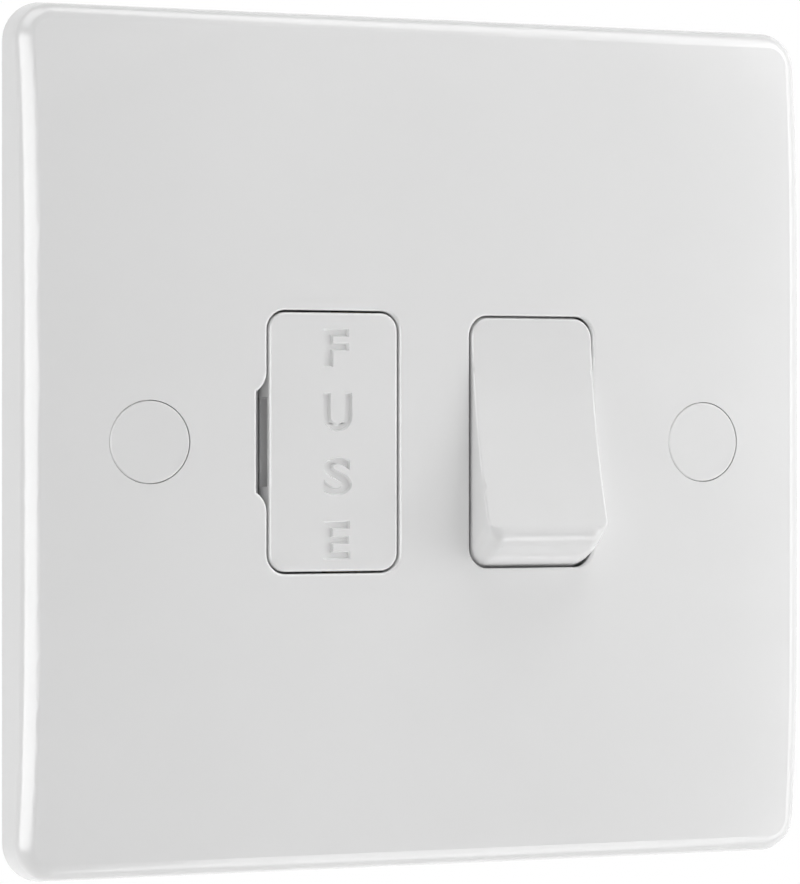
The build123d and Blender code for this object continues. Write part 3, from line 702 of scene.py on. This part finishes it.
# %% [markdown]
# ## The threaded screws
# Each screw has a raised, slotted head and a plain neck, and the drawing already has both. The screws could
# be spun anew from head to tip, but then the slots would have to be cut again. Here a plane cuts the drawn
# shank off just before the wall, the cut is closed, and the threaded shank follows it.

# %% Threaded screws
CUT_BEFORE_WALL = 0.02 * MM

shape = merged_copy("fixing_screws")
everything = shape.verts[:] + shape.edges[:] + shape.faces[:]
wall_side = (0, -CUT_BEFORE_WALL, 0)
bmesh.ops.bisect_plane(shape, geom=everything, plane_co=wall_side, plane_no=(0, 1, 0), clear_outer=True)
bmesh.ops.holes_fill(shape, edges=[edge for edge in shape.edges if edge.is_boundary])
screw_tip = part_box("fixing_screws")[1].y
for cap in CAPS:
    cap_low, cap_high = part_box(cap)
    turns = threaded_shank(shape, (cap_low.x + cap_high.x) / 2, -CUT_BEFORE_WALL, screw_tip)
bmesh.ops.remove_doubles(shape, verts=shape.verts[:], dist=WELD)
bmesh.ops.recalc_face_normals(shape, faces=shape.faces[:])
screws = new_piece("threaded_screws", shape, "unit_frame", "screw_steel")
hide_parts("fixing_screws")
print("threaded screws", turns, "turns each,", len(screws.data.polygons), "faces")

# %% [markdown]
# ## The floor's finish
# A floor that simply ends would draw a line across the background. A far larger floor would hide its end,
# but it would also catch and return more light, so this one fades, to the eye only, into the background's
# white towards its rim.

# %% Floor finish
FLOOR_RADIUS = 0.62
FLOOR_FADE = 0.3
FLOOR_COLOUR = (0.86, 0.86, 0.86, 1)
FLOOR_ROUGHNESS = 0.9


def pale_floor(name):
    """Pale matt floor that fades, to the eye, into the white of the background towards its rim."""
    material, tree, shader = new_finish(name)
    shader.inputs["Base Color"].default_value = FLOOR_COLOUR
    shader.inputs["Roughness"].default_value = FLOOR_ROUGHNESS
    place = tree.nodes.new("ShaderNodeTexCoord")
    length = tree.nodes.new("ShaderNodeVectorMath")
    length.operation = "LENGTH"
    fade = tree.nodes.new("ShaderNodeMapRange")
    fade.inputs["From Min"].default_value = FLOOR_FADE
    fade.inputs["From Max"].default_value = FLOOR_RADIUS
    path = tree.nodes.new("ShaderNodeLightPath")
    to_the_eye = tree.nodes.new("ShaderNodeMath")
    to_the_eye.operation = "MULTIPLY"
    white = tree.nodes.new("ShaderNodeEmission")
    blend = tree.nodes.new("ShaderNodeMixShader")
    output = tree.nodes["Material Output"]
    tree.links.new(place.outputs["Object"], length.inputs[0])
    tree.links.new(length.outputs["Value"], fade.inputs["Value"])
    tree.links.new(fade.outputs["Result"], to_the_eye.inputs[0])
    tree.links.new(path.outputs["Is Camera Ray"], to_the_eye.inputs[1])
    tree.links.new(to_the_eye.outputs["Value"], blend.inputs["Fac"])
    tree.links.new(shader.outputs["BSDF"], blend.inputs[1])
    tree.links.new(white.outputs["Emission"], blend.inputs[2])
    tree.links.new(blend.outputs["Shader"], output.inputs["Surface"])
    return material


print("floor fades from", FLOOR_FADE, "to", FLOOR_RADIUS, "m")

# %% [markdown]
# ## The floor
# The unit belongs on a wall, but it was photographed free, with no wall to be seen. A wall would also hide
# its back in the rear views. So it hangs clear of a pale round floor, which throws a little light up on it.

# %% Floor
FLOOR_Z = -0.12
FLOOR_SEGMENTS = 96

shape = bmesh.new()
bmesh.ops.create_circle(shape, cap_ends=True, radius=FLOOR_RADIUS, segments=FLOOR_SEGMENTS)
floor_mesh = bpy.data.meshes.new("floor")
shape.to_mesh(floor_mesh)
shape.free()
floor_mesh.materials.append(pale_floor("floor_white"))
floor = bpy.data.objects.new("floor", floor_mesh)
floor.location.z = FLOOR_Z
scene.collection.objects.link(floor)
floor.visible_shadow = False
floor.visible_glossy = False
print("floor", FLOOR_RADIUS, "m round at", FLOOR_Z)

# %% [markdown]
# ## The white world
# A product photograph has a plain white background. A brighter world would give one too, but it would bleach
# the plate, which is white itself. The Light Path node tells the rays apart: the camera, reflections and
# glass see full white, and every other ray gets a dimmer level, which fills the shadows.

# %% World
AMBIENT = 0.314

world = bpy.data.worlds.new("studio")
world.use_nodes = True
scene.world = world
tree = world.node_tree
background = tree.nodes["Background"]
path = tree.nodes.new("ShaderNodeLightPath")
seen = tree.nodes.new("ShaderNodeMath")
seen.operation = "MAXIMUM"
seen_through = tree.nodes.new("ShaderNodeMath")
seen_through.operation = "MAXIMUM"
level = tree.nodes.new("ShaderNodeMapRange")
level.inputs["To Min"].default_value = AMBIENT
level.inputs["To Max"].default_value = 1.0
tree.links.new(path.outputs["Is Camera Ray"], seen.inputs[0])
tree.links.new(path.outputs["Is Glossy Ray"], seen.inputs[1])
tree.links.new(seen.outputs["Value"], seen_through.inputs[0])
tree.links.new(path.outputs["Is Transmission Ray"], seen_through.inputs[1])
tree.links.new(seen_through.outputs["Value"], level.inputs["Value"])
tree.links.new(level.outputs["Result"], background.inputs["Strength"])
background.inputs["Color"].default_value = (1, 1, 1, 1)
print("world: white to the eye,", AMBIENT, "as a lamp")

# %% [markdown]
# ## Lamps and boards
# The plate is nearly flat, so its shape shows in two things: a face that brightens slowly to the right, and
# thin bright lines along its rounded edges. Soft lamps at the sides make the first. For the second, a
# photographer hangs white boards round the set, which the glossy edges mirror: one for each edge, and one
# for the upper left corner. Lamps alone could do both, but a lamp as wide as those lines need would wash out
# the face, so each board here shows in reflections only, and each lamp only lights. One more lamp behind
# the unit lights its terminals for the rear views.

# %% Lamps
# Each row holds the place and the size in metres, and the power in watts.
LAMPS = {
    "key_lamp": ((0.42, -0.42, 0.10), (0.5, 0.6), 1.3),
    "left_lamp": ((-0.9, 0.06, 0.0), (0.6, 0.6), 3.43),
    "right_lamp": ((0.74, -0.22, 0.0), (0.35, 0.5), 1.9),
    "top_lamp": ((0.1, -0.2, 0.6), (0.5, 0.3), 1.35),
    "low_lamp": ((0.1, -0.2, -0.6), (0.5, 0.3), 1.4),
    "rear_lamp": ((0.2, 0.6, 0.3), (0.5, 0.5), 1.6),
}
BOARDS = {
    "left_board": ((-1.042, -0.595, 0.0), (1.93, 1.0), 30.9),
    "right_board": ((0.52, -0.30, 0.0), (0.2, 0.9), 1.5),
    "top_board": ((0.47, -0.36, 0.81), (0.5, 1.25), 5.5),
    "low_board": ((0.394, -0.514, -0.762), (0.5, 0.65), 2.8),
    "corner_board": ((-0.506, -0.165, 0.957), (0.9, 0.9), 6.9),
}


def softbox(name, place, size, power):
    """Rectangular lamp that looks at the middle of the plate and is not seen itself."""
    lamp = bpy.data.lights.new(name, "AREA")
    lamp.shape = "RECTANGLE"
    lamp.size, lamp.size_y = size
    lamp.energy = power
    light = bpy.data.objects.new(name, lamp)
    light.location = place
    light.rotation_euler = (-Vector(place)).to_track_quat("-Z", "Y").to_euler()
    light.visible_camera = False
    scene.collection.objects.link(light)
    return light


for name, (place, size, power) in LAMPS.items():
    softbox(name, place, size, power).visible_glossy = False
for name, (place, size, power) in BOARDS.items():
    softbox(name, place, size, power).visible_diffuse = False
print("lamps", len(LAMPS), "boards", len(BOARDS))
